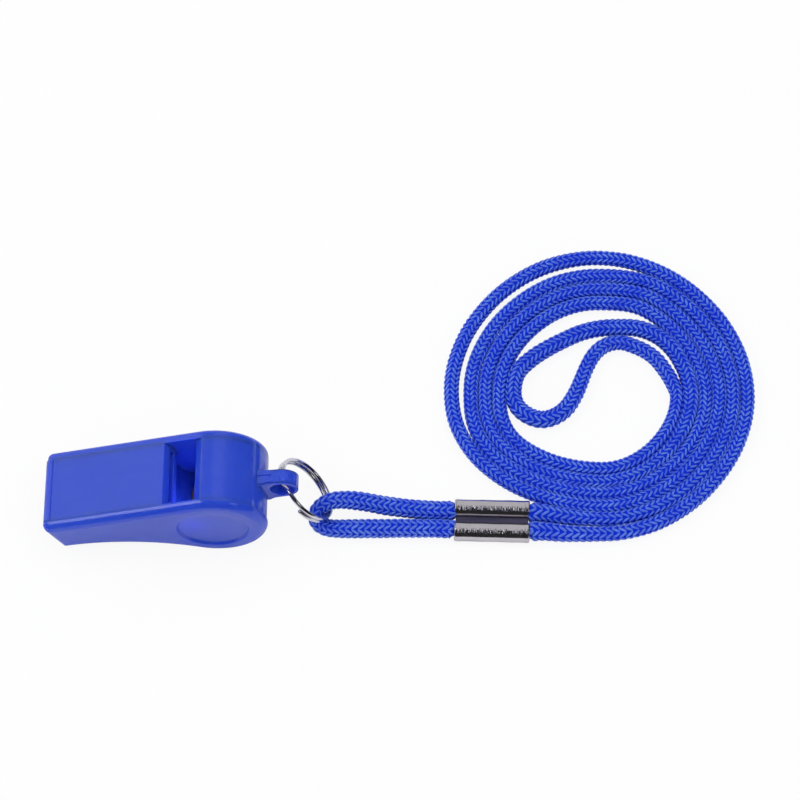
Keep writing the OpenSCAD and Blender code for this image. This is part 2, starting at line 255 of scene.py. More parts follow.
def shaded_web_plating():
    """The dull plating between the two barrels, painted dark and blue-violet: painted shade for the valley
    between them and a painted reflection of the blue cords.
    """
    f = Finish("gunmetal_web_painted_shade")
    blots = f.noise(900, stretch=(0.12, 1, 1), detail=3)
    # Painted shade and painted reflection: the dark end of the blend stands for the valley's shade, and
    # the blue-violet tint for the blue cords seen in the metal.
    f.set(Base_Color=f.blend(blots, colour(20, 20, 46), colour(124, 120, 152)),
          Metallic=1.0, Roughness=0.34 + 0.2 * blots)
    f.bump(blots, depth=0.00006)
    return f.material


def yarn():
    """Blue polyester yarn: fine filaments along each stitch, a trace of sheen and uneven dye."""
    f = Finish("knitted_yarn")
    uv = f.node("ShaderNodeUVMap", {"uv_map": "fibre"})
    lines = f.noise(9, where=f.node("ShaderNodeMapping", {}, {
        "Vector": uv, "Scale": (0.35, 3.0, 1)}), detail=3)
    dye = f.noise(260)
    share = f.ramp(lines * 0.6 + dye * 0.4, (0.36, 0), (0.64, 1))
    f.set(Base_Color=f.blend(share, colour(26, 72, 244), colour(110, 155, 255)),
          Roughness=0.28 + 0.12 * lines, Specular_IOR_Level=1.0)
    f.bump(lines, depth=0.0002)
    return f.material


def yarn_painted_shade():
    """The inside of the knit, seen between the stitches: the same blue painted deeper, as painted shade in
    the crevices.
    """
    f = Finish("knit_inside_painted_shade")
    dye = f.noise(700)
    # Painted shade: these deep blues stand for the shade in the crevices between the stitches.
    f.set(Base_Color=f.blend(dye, colour(4, 38, 190), colour(10, 50, 214)),
          Roughness=0.85 + 0.06 * dye, Specular_IOR_Level=0.1)
    f.bump(dye, depth=0.00008)
    return f.material


# Meshes

def quads(rows, columns, first=0, closed_rows=False, closed_columns=True):
    """Faces between neighbouring rows and columns of a grid of points, row by row."""
    i = np.arange(rows if closed_rows else rows - 1)[:, None]
    j = np.arange(columns if closed_columns else columns - 1)[None, :]
    below = first + (i % rows) * columns
    above = first + ((i + 1) % rows) * columns
    k = (j + 1) % columns
    return np.stack([below + j, below + k, above + k, above + j], -1).reshape(-1, 4)


def piece(name, parts, finish, crease=40, uv=None):
    """One object from parts, each the points in millimetres and the faces that join them."""
    points = []
    faces = []
    count = 0
    for part_points, part_faces in parts:
        part_points = np.asarray(part_points, dtype=float).reshape(-1, 3)
        points.append(part_points)
        for group in part_faces:
            faces += (np.asarray(group) + count).tolist()
        count += len(part_points)
    mesh = bpy.data.meshes.new(name)
    mesh.from_pydata((np.concatenate(points) * MM).tolist(), [], faces)
    mesh.update()
    mesh.materials.append(finish)
    mesh.shade_smooth()
    if crease:
        mesh.set_sharp_from_angle(angle=np.radians(crease))
    if uv is not None:
        corner = np.empty(len(mesh.loops), dtype=np.int32)
        mesh.loops.foreach_get("vertex_index", corner)
        layer = mesh.uv_layers.new(name="fibre")
        layer.data.foreach_set("uv", uv[corner].astype(np.float32).ravel())
    made = bpy.data.objects.new(name, mesh)
    bpy.context.collection.objects.link(made)
    return made


def smooth(x):
    """A soft step from 0 to 1."""
    c = np.clip(x, 0, 1)
    return c * c * (3 - 2 * c)


def mix(a, b, share):
    return a + (b - a) * share


def arc(centre, radius, start, end, steps):
    """Points of an arc in a plane, without its last, from angles in degrees."""
    a = np.radians(mix(start, end, np.arange(steps) / steps))
    return np.asarray(centre) + radius * np.stack([np.cos(a), np.sin(a)], -1)


def line(start, end, steps):
    """Points from one place towards another, without the last."""
    share = (np.arange(steps) / steps)[:, None]
    return mix(np.asarray(start, dtype=float), np.asarray(end, dtype=float), share)


NEARLY_STRAIGHT = 0.02


def rounded(corners, radii, steps=5):
    """A closed polygon with each corner turned into an arc of its own radius, tangent to both sides."""
    corners = np.asarray(corners, dtype=float)
    out = []
    count = len(corners)
    for i in range(count):
        here = corners[i]
        back = unit(corners[i - 1] - here)
        ahead = unit(corners[(i + 1) % count] - here)
        bend = np.arccos(np.clip(back @ ahead, -1, 1))
        if radii[i] <= 0 or bend > np.pi - NEARLY_STRAIGHT:
            out.append(here[None])
            continue
        run = radii[i] / np.tan(bend / 2)
        run = min(run, HALF * np.linalg.norm(corners[i - 1] - here),
                  HALF * np.linalg.norm(corners[(i + 1) % count] - here))
        radius = run * np.tan(bend / 2)
        centre = here + unit(back + ahead) * radius / np.sin(bend / 2)
        first = here + back * run - centre
        last = here + ahead * run - centre
        share = np.linspace(0, 1, steps + 1)[:, None]
        sweep = np.pi - bend
        out.append(centre + (np.sin((1 - share) * sweep) * first
                             + np.sin(share * sweep) * last) / np.sin(sweep))
    return np.concatenate(out)


def curve(points, steps):
    """A smooth curve through points: each stretch is a cubic set by its two neighbours."""
    p = np.asarray(points, dtype=float)
    padded = np.concatenate([p[:1], p, p[-1:]])
    a, b, c, d = (padded[i:len(p) - 1 + i, None] for i in range(4))
    t = (np.arange(steps) / steps)[None, :, None]
    bends = (2 * b + (c - a) * t + (2 * a - 5 * b + 4 * c - d) * t * t
             + (3 * b - a - 3 * c + d) * t * t * t) / 2
    return np.concatenate([bends.reshape(-1, p.shape[1]), p[-1:]])


def even(path, gap):
    """The same path with its points a fixed distance apart."""
    path = np.asarray(path, dtype=float)
    far = np.concatenate([[0], np.cumsum(np.linalg.norm(np.diff(path, axis=0), axis=1))])
    at = np.linspace(0, far[-1], max(2, int(round(far[-1] / gap)) + 1))
    return np.stack([np.interp(at, far, path[:, k]) for k in range(path.shape[1])], -1)


def eased(path, width):
    """A path whose kinks are averaged out over a few points, with its ends kept."""
    kernel = np.hanning(width + 2)[1:-1]
    kernel = kernel / kernel.sum()
    half = width // 2
    out = []
    for k in range(path.shape[1]):
        row = path[:, k]
        row = np.concatenate([2 * row[0] - row[half:0:-1], row, 2 * row[-1] - row[-2:-half - 2:-1]])
        out.append(np.convolve(row, kernel, "valid"))
    return np.stack(out, -1)


# Whistle, in its own plane: u along the flat top, n square to it

CHAMBER_R = 11.4
TIP_REACH = 36.3
TIP_HEIGHT = 10.5
TIP_LEAN = 0.9
BELLY_R = 45
WHISTLE_W = 19
PLATE_T = 2.2
EDGE_R = 2
TIP_TOP_R = 1.7
TIP_LOW_R = 0.7
SEAM_STEP = 0.25
LIP_BAND = 2.2
RECESS_R = 7.8
RECESS_D = 0.6
RECESS_SHIFT = 0.45
CHAMBER_WALL = 1.8
ROOF_T = 1.6
ROOF_END = 7.75
ROOF_SLOPE = 0.85
SLOT_H = 1.5
LANGUID_END = 6.7
MOUTH_H = 6.4
WINDWAY_WALL = 1.2
EDGE_BACK = 0.8
EDGE_DROP = 1.3
BEVEL_L = 1.85
LIP_R = 0.2
RECESS_EDGE = 0.2
RECESS_WALL = 0.65
LEAST_R = 0.15
RUN_OUT = 1
TUCK = 0.02
CEILING_BACK = 0.2
BAND_SLANT = 0.06
SOFT_R = 0.12
ROOF_EDGE_R = 0.16
CREASE_R = 0.1
BLADE_TOP_R = 0.35
BLADE_TIP_R = 0.06
RIB_SUNK = 0.05
RIB_SHORT = 0.08
INNER_W = WHISTLE_W - 2 * PLATE_T
WINDWAY_W = INNER_W - 2 * WINDWAY_WALL

TIP_FOOT = np.array([TIP_LEAN - TIP_REACH, CHAMBER_R - TIP_HEIGHT])
TIP_ANGLE = -np.degrees(np.arctan2(TIP_LEAN, TIP_HEIGHT))
TIP_SLOPE = -TIP_LEAN / TIP_HEIGHT
FOOT_REACH = np.linalg.norm(TIP_FOOT)
TILT = np.arcsin(CHAMBER_R / FOOT_REACH) + np.arctan2(TIP_FOOT[1], -TIP_FOOT[0])
BELLY_REACH = BELLY_R + CHAMBER_R
BELLY_OPEN = np.arccos((BELLY_REACH ** 2 + FOOT_REACH ** 2 - BELLY_R ** 2)
                       / (2 * BELLY_REACH * FOOT_REACH))
BELLY_ANGLE = 180 - np.degrees(np.arctan2(TIP_FOOT[1], -TIP_FOOT[0])) + np.degrees(BELLY_OPEN)
BELLY_C = BELLY_REACH * np.array([np.cos(np.radians(BELLY_ANGLE)),
                                  np.sin(np.radians(BELLY_ANGLE))])
ROOF_N = CHAMBER_R - SEAM_STEP
BORE_R = ROOF_N - CHAMBER_WALL
SLOT_ROOF_N = ROOF_N - ROOF_T
SLOT_FLOOR_N = SLOT_ROOF_N - SLOT_H
FLOOR_SLOPE = (MOUTH_H - SLOT_H) / (TIP_REACH - LANGUID_END)

HOLE_C = np.array([14.9, -1.25])
HOLE_D = 5.2
LUG_R = 3.5
LUG_T = 3.5
LUG_ROOT_T = 4.1
LUG_ROOT_H = 4.1
LUG_FLARE_L = 1.4
LUG_FOOT_R = 9.9
LUG_EDGE_R = 0.42
HOLE_BEVEL = 0.3
PAD_H = 0.3
PAD_START = 13.9
PAD_EASE = 0.4

WIRE_D = 0.95
RING_R = 7.4
TURN_GAP = 0.05
TURN_PITCH = WIRE_D + TURN_GAP
RING_FROM_HOLE = np.array([4.8, 1.6, -7.1])
RING_AXIS = unit([0.72, 0.28, 0.635])
RING_DOWN = unit(np.cross(np.cross(RING_AXIS, [0, 0, -1]), RING_AXIS))
RING_NEAR = np.cross(RING_DOWN, RING_AXIS)
RING_CUT_AT = 128
RING_TURN = 300
RING_OPEN = 60
RING_JOG = 25
RING_STEP = 2.5

MOUTH_TOP_C = np.array([
    TIP_FOOT[0] + TIP_SLOPE * (TIP_HEIGHT - TIP_TOP_R) + TIP_TOP_R / np.cos(np.radians(TIP_ANGLE)),
    CHAMBER_R - TIP_TOP_R])
WHISTLE_LEFT = MOUTH_TOP_C[0] * np.cos(TILT) - MOUTH_TOP_C[1] * np.sin(TILT) - TIP_TOP_R
HOLE_X = HOLE_C[0] * np.cos(TILT) - HOLE_C[1] * np.sin(TILT)
HOLE_Z = HOLE_C[0] * np.sin(TILT) + HOLE_C[1] * np.cos(TILT) + CHAMBER_R
RING_RIGHT = (HOLE_X + RING_FROM_HOLE[0] + TURN_PITCH / 2 * RING_AXIS[0]
              + RING_R * np.linalg.norm(RING_AXIS[1:]) + WIRE_D / 2)
AXIS_X = -(WHISTLE_LEFT + RING_RIGHT) / 2
RING_C = np.array([AXIS_X + HOLE_X, 0, HOLE_Z]) + RING_FROM_HOLE


def stand(points, across):
    """Points of the whistle's own plane, at distances across it, put where the whistle lies."""
    u = points[..., 0]
    n = points[..., 1]
    across = np.broadcast_to(across, u.shape)
    return np.stack([AXIS_X + u * np.cos(TILT) - n * np.sin(TILT), across,
                     CHAMBER_R + u * np.sin(TILT) + n * np.cos(TILT)], -1)


CORNER_STEPS = 10
FACE_STEPS = 8
FOOT_STEPS = 8
BELLY_STEPS = 40
CHAMBER_STEPS = 120
FLAT_STEPS = 36
FOOT_AT = CORNER_STEPS + FACE_STEPS
BELLY_AT = FOOT_AT + FOOT_STEPS
CHAMBER_AT = BELLY_AT + BELLY_STEPS
FLAT_AT = CHAMBER_AT + CHAMBER_STEPS


def outline(inset):
    """Outline of the whistle set in all round: two corner arcs with the mouth's end between them, the
    hollow belly, the round chamber and the flat top."""
    lean = np.cos(np.radians(TIP_ANGLE))
    top = CHAMBER_R - inset
    foot_u = TIP_FOOT[0] - TIP_SLOPE * TIP_FOOT[1] + inset / lean
    top_r = max(TIP_TOP_R - inset, LEAST_R)
    low_r = max(TIP_LOW_R - inset, LEAST_R)
    top_c = np.array([foot_u + TIP_SLOPE * (top - top_r) + top_r / lean, top - top_r])
    low_u = foot_u + low_r / lean
    reach = BELLY_R + inset + low_r
    a = 1 + TIP_SLOPE ** 2
    b = TIP_SLOPE * (low_u - BELLY_C[0]) - BELLY_C[1]
    c = (low_u - BELLY_C[0]) ** 2 + BELLY_C[1] ** 2 - reach ** 2
    low_n = (-b + np.sqrt(b * b - a * c)) / a
    low_c = np.array([low_u + TIP_SLOPE * low_n, low_n])
    rise = low_c - BELLY_C
    rise_angle = np.degrees(np.arctan2(rise[1], rise[0]))
    corner = arc(top_c, top_r, 90, 180 - TIP_ANGLE, CORNER_STEPS)
    foot = arc(low_c, low_r, 180 - TIP_ANGLE, rise_angle + 180, FOOT_STEPS)
    last = top_c + top_r * np.array([-lean, np.sin(np.radians(TIP_ANGLE))])
    face = line(last, foot[0], FACE_STEPS)
    belly = arc(BELLY_C, BELLY_R + inset, rise_angle, BELLY_ANGLE - 180, BELLY_STEPS)
    chamber = arc([0, 0], top, BELLY_ANGLE, 450, CHAMBER_STEPS)
    flat = line([0, top], corner[0], FLAT_STEPS)
    return np.concatenate([corner, face, foot, belly, chamber, flat])


def side_plate(name, side, finish):
    """A side plate: the outline carried out from its inner face, its edge turned over by a quarter circle,
    and its outer face dished by rings about the recess, whose depth falls in a soft step."""
    quarter = np.radians(np.linspace(0, 90, 5))
    fillet = np.radians(np.linspace(0, 90, 13))
    out = [(PLATE_T - EDGE_R + EDGE_R * np.sin(a), EDGE_R * (1 - np.cos(a))) for a in fillet]
    if side < 0:
        out = [(LIP_R * (1 - np.cos(a)), LIP_R * (1 - np.sin(a))) for a in quarter] + out
    else:
        out = [(y, np.hypot(inset, SEAM_STEP)) for y, inset in [(0, 0)] + out]
    rim = outline(EDGE_R)
    middle = np.array([-RECESS_SHIFT, 0])
    bearing = unit(rim - middle)
    reach = np.linalg.norm(rim - middle, axis=1)[:, None]
    wall_start = RECESS_R + RECESS_EDGE
    layers = [(outline(inset), INNER_W / 2 + y) for y, inset in out]
    for share in (0.35, 0.7):
        layers.append((middle + bearing * mix(reach, wall_start, share), INNER_W / 2 + PLATE_T))
    for share in np.linspace(0, 1, 11):
        layers.append((middle + bearing * (wall_start - RECESS_WALL * share),
                       INNER_W / 2 + PLATE_T - RECESS_D * smooth(share)))
    for share in (0.66, 0.33):
        layers.append((middle + bearing * (wall_start - RECESS_WALL) * share,
                       INNER_W / 2 + PLATE_T - RECESS_D))
    grid = np.stack([stand(points, side * y) for points, y in layers])
    rows, count = grid.shape[:2]
    points = np.concatenate([grid.reshape(-1, 3),
                             stand(middle, side * (INNER_W / 2 + PLATE_T - RECESS_D))[None]])
    walls = quads(rows, count)
    k = np.arange(count)
    last = (rows - 1) * count
    hub = np.stack([last + k, last + (k + 1) % count, np.full(count, rows * count)], -1)
    inner = np.arange(count)[::-1][None]
    groups = [walls, hub, inner]
    if side > 0:
        groups = [np.asarray(g)[:, ::-1] for g in groups]
    return piece(name, [(points, groups)], finish, crease=35)


def slab(profile, start, end):
    """A profile of the whistle's plane carried straight across it, with flat ends."""
    if np.cross(profile, np.roll(profile, -1, 0)).sum() > 0:
        profile = profile[::-1]
    grid = np.stack([stand(profile, start), stand(profile, end)])
    count = len(profile)
    return grid, [quads(2, count), np.arange(count)[::-1][None], (np.arange(count) + count)[None]]


def tip_u(n):
    """Where the mouth's end face stands at a height above the chamber's axis line."""
    return TIP_FOOT[0] + TIP_SLOPE * (n - TIP_FOOT[1])


def floor_n(u):
    return SLOT_FLOOR_N + FLOOR_SLOPE * (u + LANGUID_END)


def body_shell(finish):
    """The middle of the whistle: its roof with the lip band, and its floor, languid, chamber and
    sharp edge, as two profiles carried between the plates, with a rib at each side of the windway."""
    lean = np.radians(TIP_ANGLE)
    corner = MOUTH_TOP_C
    band_u = LIP_BAND - TIP_REACH
    nose = arc(corner, TIP_TOP_R, 180 - TIP_ANGLE, 90, 10)
    ceiling = [tip_u(SLOT_ROOF_N) + CEILING_BACK, SLOT_ROOF_N]
    step = rounded([[band_u - RUN_OUT, CHAMBER_R], [band_u, CHAMBER_R],
                    [band_u + BAND_SLANT, ROOF_N], [band_u + RUN_OUT, ROOF_N]],
                   [0, SOFT_R, CREASE_R, 0], 4)
    back = rounded([[-ROOF_END - RUN_OUT, ROOF_N], [-ROOF_END, ROOF_N],
                    [-ROOF_END + ROOF_SLOPE, SLOT_ROOF_N], [-ROOF_END - RUN_OUT, SLOT_ROOF_N]],
                   [0, ROOF_EDGE_R, CREASE_R, 0], 5)
    roof = np.concatenate([nose, [corner + [0, TIP_TOP_R]], step[1:], back, [ceiling]])
    mouth_floor = [tip_u(floor_n(TIP_FOOT[0])) + TUCK, floor_n(TIP_FOOT[0])]
    outer = outline(SEAM_STEP)
    plain = outline(0)
    foot = plain[FOOT_AT:BELLY_AT] + [TUCK, 0]
    belly = outer[BELLY_AT:CHAMBER_AT + 1]
    chamber = outer[CHAMBER_AT + 1:FLAT_AT]
    turn = np.degrees(np.arctan2(ROOF_N, -EDGE_BACK + BEVEL_L))
    keep = np.degrees(np.unwrap(np.arctan2(chamber[:, 1], chamber[:, 0])))
    keep = keep - keep[0] + BELLY_ANGLE
    chamber = chamber[keep < 360 + turn - 1]
    edge_n = np.sqrt(BORE_R ** 2 - EDGE_BACK ** 2)
    languid_n = np.sqrt(BORE_R ** 2 - LANGUID_END ** 2)
    blade = rounded([[-EDGE_BACK + BEVEL_L + RUN_OUT, ROOF_N - TUCK], [-EDGE_BACK + BEVEL_L, ROOF_N],
                     [-EDGE_BACK, ROOF_N - EDGE_DROP], [-EDGE_BACK, edge_n]],
                    [0, BLADE_TOP_R, BLADE_TIP_R, 0], 5)[1:-1]
    top_turn = np.degrees(np.arctan2(edge_n, -EDGE_BACK))
    low_turn = np.degrees(np.arctan2(languid_n, -LANGUID_END))
    bore = arc([0, 0], BORE_R, top_turn, low_turn - 360, 96)
    languid = rounded([[-LANGUID_END, BORE_R / 2], [-LANGUID_END, SLOT_FLOOR_N],
                       [-LANGUID_END - RUN_OUT, floor_n(-LANGUID_END - RUN_OUT)]], [0, SOFT_R, 0], 4)
    lower = np.concatenate([[mouth_floor], foot, belly, chamber, blade, bore,
                            [[-LANGUID_END, languid_n]], languid[1:-1]])
    half = INNER_W / 2
    rib_roof = SLOT_ROOF_N + RIB_SUNK
    rib_foot = floor_n(TIP_FOOT[0]) - RIB_SUNK
    rib = np.array([[tip_u(rib_roof) + TUCK, rib_roof], [tip_u(rib_foot) + TUCK, rib_foot],
                    [-LANGUID_END - TUCK, SLOT_FLOOR_N - RIB_SUNK],
                    [-ROOF_END + ROOF_SLOPE - RIB_SHORT, rib_roof]])
    parts = [slab(roof, -half, half), slab(lower, -half, half),
             slab(rib, -half, -WINDWAY_W / 2), slab(rib, WINDWAY_W / 2, half)]
    return piece("body_shell", parts, finish, crease=30)


def lug_shell(finish):
    """The lug round the ring's hole: for each bearing about the hole, a loop runs in along the bore,
    out over one face, round the edge and back over the other face. The faces part towards the chamber
    by the square of the distance left to the lug's waist."""
    turn = np.arctan2(HOLE_C[1], HOLE_C[0])
    away = np.array([np.cos(turn), np.sin(turn)])
    rise = np.array([-away[1], away[0]])
    centre = np.linalg.norm(HOLE_C)
    a = np.radians(np.arange(0, 360, 4))
    cos = np.cos(a)
    sin = np.sin(a)
    slope = (LUG_ROOT_H - LUG_R) / centre
    side_line = LUG_R * np.sqrt(1 + slope ** 2) / np.maximum(np.abs(sin) + slope * cos, 1e-6)
    reach = np.where(cos > -slope, LUG_R, side_line)
    back_line = (centre - LUG_FOOT_R) / np.maximum(-cos, 1e-6)
    reach = np.minimum(reach, np.where(cos < 0, back_line, np.inf))
    hole = HOLE_D / 2
    loop = []
    for s in np.linspace(-1, 1, 5):
        loop.append((np.full_like(a, hole), s * 0.8, 0.0))
    for b in np.radians(np.linspace(15, 90, 5)):
        loop.append((hole + HOLE_BEVEL * (1 - np.cos(b)), 1.0, -HOLE_BEVEL * (1 - np.sin(b))))
    for share in np.linspace(0.1, 1, 9):
        loop.append((mix(hole + HOLE_BEVEL, reach - LUG_EDGE_R, share), 1.0, 0.0))
    for b in np.radians(np.linspace(15, 90, 6)):
        loop.append((reach - LUG_EDGE_R * (1 - np.sin(b)), 1.0, -LUG_EDGE_R * (1 - np.cos(b))))
    pad = PAD_H * smooth((PAD_START - centre - reach * cos) / PAD_EASE) * (sin > 0)
    middle = [(reach + pad * raised, s, 0.0)
              for s, raised in ((0.9, 0), (0.84, 1), (0.52, 1), (0.24, 1), (0.18, 0), (0.12, 0),
                                (0.06, 1), (-0.3, 1), (-0.7, 1), (-0.76, 0), (-0.88, 0))]
    mirrored = [(r, -s, -d) for r, s, d in loop[5:][::-1]]
    loop = loop + middle + mirrored
    grid = []
    for r, s, d in loop:
        r = np.broadcast_to(r, a.shape)
        along = centre + r * cos
        up = r * sin
        left = np.clip((CHAMBER_R + LUG_FLARE_L - along) / LUG_FLARE_L, 0, 1)
        half = LUG_T / 2 + (LUG_ROOT_T - LUG_T) / 2 * left ** 2
        plane = along[:, None] * away + up[:, None] * rise
        grid.append(stand(plane, s * half + d))
    grid = np.stack(grid)
    rows, count = grid.shape[:2]
    lug = (grid, [quads(rows, count, closed_rows=True)[:, ::-1]])
    return piece("lug_shell", [lug], finish, crease=50)


# Tubes

def frames(path, up):
    """At each point of a path: the way it runs, the way to its side, and the way up from it."""
    run = unit(np.gradient(path, axis=0))
    side = unit(np.cross(run, up))
    return run, side, np.cross(side, run)


def tube(path, radii, sides, up, round_ends=False):
    """A round section carried along a path, with flat or rounded ends."""
    run, side, rise = frames(path, up)
    radii = np.broadcast_to(radii, len(path)).astype(float)
    if round_ends:
        b = np.radians(np.array([80, 60, 40, 20]))
        first = path[0] - run[0] * radii[0] * np.sin(b)[:, None]
        last = path[-1] + run[-1] * radii[-1] * np.sin(b)[::-1, None]
        path = np.concatenate([first, path, last])
        side = np.concatenate([np.repeat(side[:1], 4, 0), side, np.repeat(side[-1:], 4, 0)])
        rise = np.concatenate([np.repeat(rise[:1], 4, 0), rise, np.repeat(rise[-1:], 4, 0)])
        radii = np.concatenate([radii[0] * np.cos(b), radii, radii[-1] * np.cos(b)[::-1]])
    a = TURN * np.arange(sides) / sides
    grid = (path[:, None] + radii[:, None, None]
            * (np.cos(a)[:, None] * side[:, None] + np.sin(a)[:, None] * rise[:, None]))
    rows = len(path)
    ends = [np.arange(sides)[::-1][None], (np.arange(sides) + (rows - 1) * sides)[None]]
    return grid, [quads(rows, sides)] + ends


def split_ring(finish):
    """Two turns of wire about the ring's middle, with a soft sidestep between them and domed ends."""
    sweep = np.arange(0, 2 * RING_TURN + RING_OPEN + 1, RING_STEP)
    a = np.radians(RING_CUT_AT - sweep)
    side = smooth((sweep - RING_TURN) / RING_JOG) - HALF
    path = (RING_C + TURN_PITCH * side[:, None] * RING_AXIS
            + RING_R * (np.cos(a)[:, None] * RING_DOWN + np.sin(a)[:, None] * RING_NEAR))
    return piece("ring_wire", [tube(path, WIRE_D / 2, 20, RING_AXIS, True)], finish, crease=45)


# Crimp

CRIMP_L = 16.4
BARREL_D = 4.3
BARREL_BORE = 3.1
BARREL_GAP = 5.45
BARREL_WALL = (BARREL_D - BARREL_BORE) / 2
BEAD_H = 0.035
BEAD_L = 0.85
BEAD_EASE = 0.35
BARREL_SAG = 0.02
WEB_T = 1.2
WEB_WAIST = 0.75
WEB_SPREAD = 0.9
WEB_SHORT = 0.25
CRIMP_TURN = -0.8
CRIMP_FROM_RING = [40.7, -3.95]
CRIMP_C = np.array([RING_C[0] + CRIMP_FROM_RING[0], RING_C[1] + CRIMP_FROM_RING[1], BARREL_D / 2])


def by_crimp(points):
    """Places given along the crimp, across it and above the table, put where it lies."""
    points = np.asarray(points, dtype=float)
    a = np.radians(CRIMP_TURN)
    x = points[..., 0]
    y = points[..., 1]
    return np.stack([CRIMP_C[0] + x * np.cos(a) - y * np.sin(a),
                     CRIMP_C[1] + x * np.sin(a) + y * np.cos(a), points[..., 2]], -1)


def crimp_barrels(finish):
    """Two barrels, each a closed profile turned about its own axis: the outside with a rolled bead near
    each mouth, a round rim, and the bore."""
    half = CRIMP_L / 2
    radius = BARREL_D / 2
    bore = radius - BARREL_WALL
    rim = np.radians(np.linspace(0, 180, 9))
    rim_r = BARREL_WALL / 2
    right = np.stack([half - rim_r + rim_r * np.sin(rim), radius - rim_r + rim_r * np.cos(rim)], -1)
    inside = line([half - BARREL_WALL, bore], [BARREL_WALL - half, bore], 6)
    left = right[::-1] * [-1, 1]
    x = np.linspace(BARREL_WALL - half, half - BARREL_WALL, 40)
    dip = BEAD_H * smooth((half - BEAD_L - np.abs(x)) / BEAD_EASE)
    sag = BARREL_SAG * np.sin(x * 1.1 + 0.6)
    outside = np.stack([x, radius - dip - sag * (dip > 0)], -1)
    profile = np.concatenate([right, inside, left, outside])
    a = TURN * np.arange(56) / 56
    parts = []
    for side in (-1, 1):
        ring = np.stack([np.broadcast_to(profile[:, :1], (len(profile), len(a))),
                         side * BARREL_GAP / 2 + profile[:, 1:] * np.sin(a),
                         radius + profile[:, 1:] * np.cos(a)], -1)
        parts.append((by_crimp(ring), [quads(len(profile), len(a), closed_rows=True)]))
    return piece("crimp_barrels", parts, finish)


def crimp_web(finish):
    """The bar that joins the barrels, whose two faces are waisted."""
    t = np.linspace(-1, 1, 15)
    reach = (BARREL_GAP - BARREL_WALL) / 2
    top = np.stack([t * reach, WEB_T / 2 * (WEB_WAIST + WEB_SPREAD * t ** 4)], -1)
    section = np.concatenate([top, top[::-1] * [1, -1]])
    ends = (CRIMP_L / 2 - WEB_SHORT) * np.array([-1, 1])
    web = np.stack([np.stack([np.full(len(section), e), section[:, 0],
                              BARREL_D / 2 + section[:, 1]], -1) for e in ends])
    count = len(section)
    faces = [quads(2, count), np.arange(count)[::-1][None], (np.arange(count) + count)[None]]
    return piece("crimp_web", [(by_crimp(web), faces)], finish)


# Pea

PEA_R = 5.5
PEA_LIFT = 0.25
PIT_D = 0.18
PORE_D = 0.1


def cork_pea(finish):
    """A ball of latitude rings, pitted where a sum of waves over it runs low."""
    centre = np.array([AXIS_X, 0, CHAMBER_R - BORE_R + PEA_LIFT + PEA_R])
    rings = 60
    sides = 96
    b = np.radians(np.linspace(-88, 88, rings))[:, None]
    a = (TURN * np.arange(sides) / sides)[None]
    way = np.stack([np.cos(b) * np.cos(a), np.cos(b) * np.sin(a), np.sin(b) + 0 * a], -1)
    waves = (np.sin(9 * way[..., 0] + 5 * way[..., 1]) * np.sin(11 * way[..., 1] - 4 * way[..., 2])
             * np.sin(13 * way[..., 2] + 6 * way[..., 0]))
    fine = np.sin(31 * way[..., 0] + 3) * np.sin(29 * way[..., 1] + 1) * np.sin(33 * way[..., 2] + 2)
    pit = PIT_D * smooth((waves - 0.3) / 0.4) + PORE_D * smooth((fine - 0.35) / 0.3)
    grid = centre + (PEA_R - pit[..., None]) * way
    caps = [np.arange(sides)[::-1][None], (np.arange(sides) + (rings - 1) * sides)[None]]
    return piece("cork_pea", [(grid, [quads(rings, sides)] + caps)], finish, crease=60)


# Cords

COIL_FROM_CRIMP = [23.7, 31.9]
COIL_C = CRIMP_C[:2] + COIL_FROM_CRIMP
COIL_R = 33.15
COIL_OVAL = 0.55
COIL_SQUARE = 0.25
STRAND_PITCH = 3.1
FAR_SPREAD = 0.3
NEAR_DRAW = 0.1
FAR_GAP = 1.3
GAP_OPEN_AT = 62
GAP_OPEN_OVER = 28
GAP_CLOSE_AT = 180
GAP_CLOSE_OVER = 36
LAP_STEP_AT = 190
LAP_STEP_OVER = 78
LEAD_SWING = 0.55
LEAD_SWING_OVER = 65
ROUTE_STEP = 0.25
EYE_STEP = 0.2
CORD_D = 3.5
FOLD_D = 3.95
FOLD_HALF = 52
FOLD_EASE = 14
LEAD_D = 4.3
MOUTH_D = 4.6
MOUTH_LEAN = 0.45
MOUTH_RISE = 0.15
EYE_D = 4.25
BIGHT_D = 3.9
BIGHT_AT = 29
BIGHT_EASE = 8
SEAT_D = 2.9
SEAT_L = 4
NECK_L = 0.4
SWELL_L = 0.6
SWELL_EARLY = 0.1
SETTLE_AT = 1
CROWD_AT = 0.5
CROWD_L = 2.5
NECK_SETTLE_L = 14
EYE_SETTLE_L = 3
EYE_POINTS = [
    [-11.5, 2.15, 2.2], [-17.2, 2.35, 2.2], [-23.2, 2.75, 2.7], [-28.2, 2.95, 4.1],
    [-32.2, 2.6, 5.5], [-35.2, 1.95, 6.1], [-37.2, 0.95, 5.4], [-38.2, -0.25, 4.1],
    [-37.9, -1.65, 2.8], [-36.2, -2.65, 2.4], [-33.8, -2.95, 2.45], [-30.2, -2.8, 2.35],
    [-26, -2.6, 2.2], [-20, -2.35, 2.2], [-13, -2.15, 2.2]
]
EYE_UP = unit([0, -0.46, 0.89])
OUTER_LEAD = [[-12.2, -34.2], [-7.8, -34.55], [-3.8, -34.6]]
INNER_LEAD = [[-12.1, -29.9], [-7.9, -30.5], [-3.9, -30.85]]
